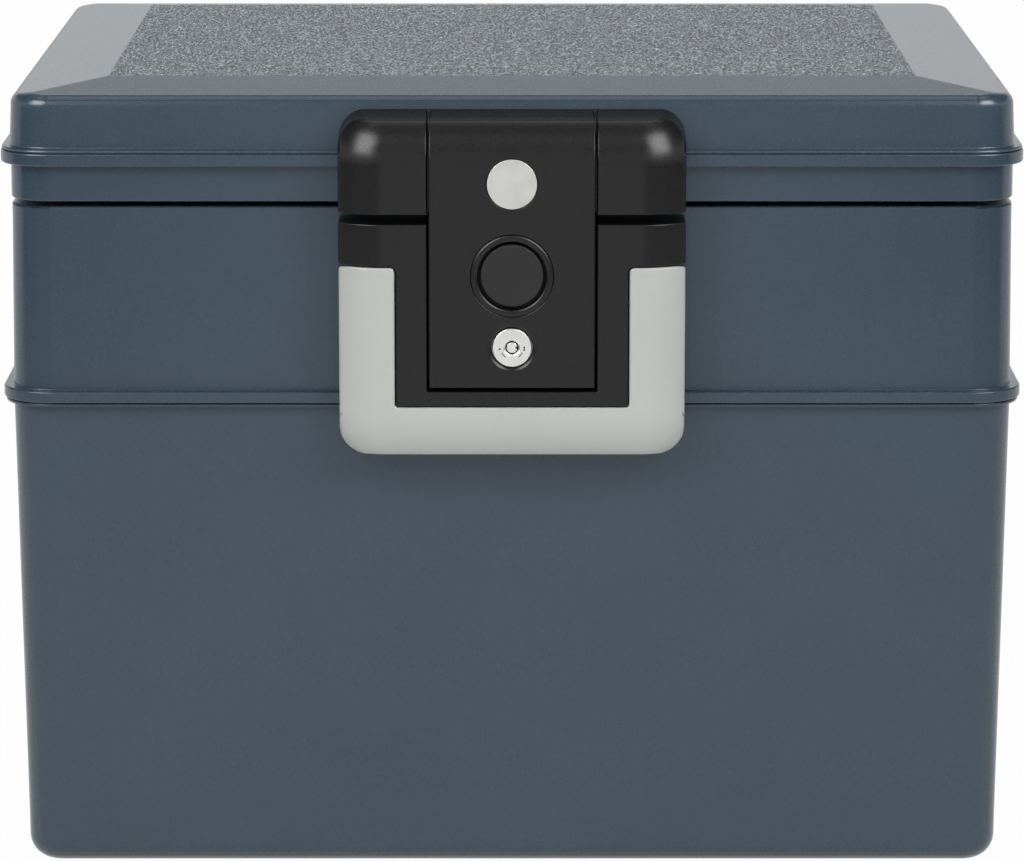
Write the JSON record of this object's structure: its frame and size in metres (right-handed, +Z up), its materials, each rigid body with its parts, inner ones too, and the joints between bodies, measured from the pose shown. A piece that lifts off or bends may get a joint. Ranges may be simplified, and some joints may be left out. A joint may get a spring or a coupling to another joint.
{
  "type": "fire-resistant document chest",
  "caption": "Lidded fire- and water-resistant document chest with a push-button key latch and a fold-out carry handle.",
  "frame": {"origin": "centre of the underside of the case, on the surface it stands on", "axes": "+Z up, front with the latch towards -Y, +X to the right seen from the front"},
  "size_m": [0.416, 0.3647, 0.325],
  "materials": {
    "case": "satin",
    "liner": "matte",
    "insulation": "matte",
    "latch_black": "satin",
    "button_black": "matte",
    "hinge_black": "satin",
    "handle_grey": "satin",
    "badge": "satin",
    "lock_metal": "satin",
    "steel": "satin",
    "seal_rubber": "matte"
  },
  "bodies": {
    "chest": {"lower_tub": "case", "upper_collar": "case", "inner_liner": "liner", "body_insulation": "insulation", "fill_plugs": "liner", "latch_base": "latch_black", "latch_base_screws": "steel", "keeper_plate": "steel", "keeper_screws": "steel", "hinge_bases": "hinge_black", "hinge_base_screws": "steel", "hinge_pins": "steel"},
    "lid": {"lid_shell": "case", "lid_frame": "case", "lid_pan": "liner", "lid_insulation": "insulation", "lid_seal": "seal_rubber", "hinge_straps": "hinge_black", "hinge_strap_screws": "steel", "latch_housing": "latch_black", "housing_screws": "steel", "latch_plate": "latch_black", "plate_screws": "steel", "badge_disc": "badge", "button_bezel": "latch_black", "mechanism_cover": "latch_black", "cover_screws": "steel", "hook_pin": "steel", "lock_barrel": "lock_metal", "button_spring": "steel"},
    "handle": {"carry_handle": "handle_grey", "handle_pins": "hinge_black"},
    "button": {"push_button": "button_black"},
    "hook": {"release_hook": "steel"},
    "lock": {"lock_rotor": "lock_metal", "lock_cam": "steel", "cam_screw": "steel"}
  },
  "joints": [
    {"name": "lid_hinge", "type": "hinge", "parent": "chest", "child": "lid", "pos_m": [0, 0.1713, 0.2777], "axis": [-1, 0, 0], "range_deg": [0, 95]},
    {"name": "handle_fold", "type": "hinge", "parent": "chest", "child": "handle", "pos_m": [0, -0.184, 0.2415], "axis": [-1, 0, 0], "range_deg": [0, 90]},
    {"name": "button_press", "type": "slide", "parent": "lid", "child": "button", "axis": [0, 1, 0], "range_m": [0, 0.003], "stiffness_N_per_m": 500, "springref_m": -0.004, "deforming": ["button_spring"]},
    {"name": "hook_swing", "type": "hinge", "parent": "lid", "child": "hook", "pos_m": [0, -0.1731, 0.258], "axis": [1, 0, 0], "range_deg": [0, 14.4]},
    {"name": "lock_turn", "type": "hinge", "parent": "lid", "child": "lock", "pos_m": [0, -0.18, 0.2236], "axis": [0, 1, 0], "range_deg": [0, 90]}
  ],
  "couplings": [
    {"joint": "hook_swing", "follows": "button_press", "rad_per_m": 83.333}
  ]
}
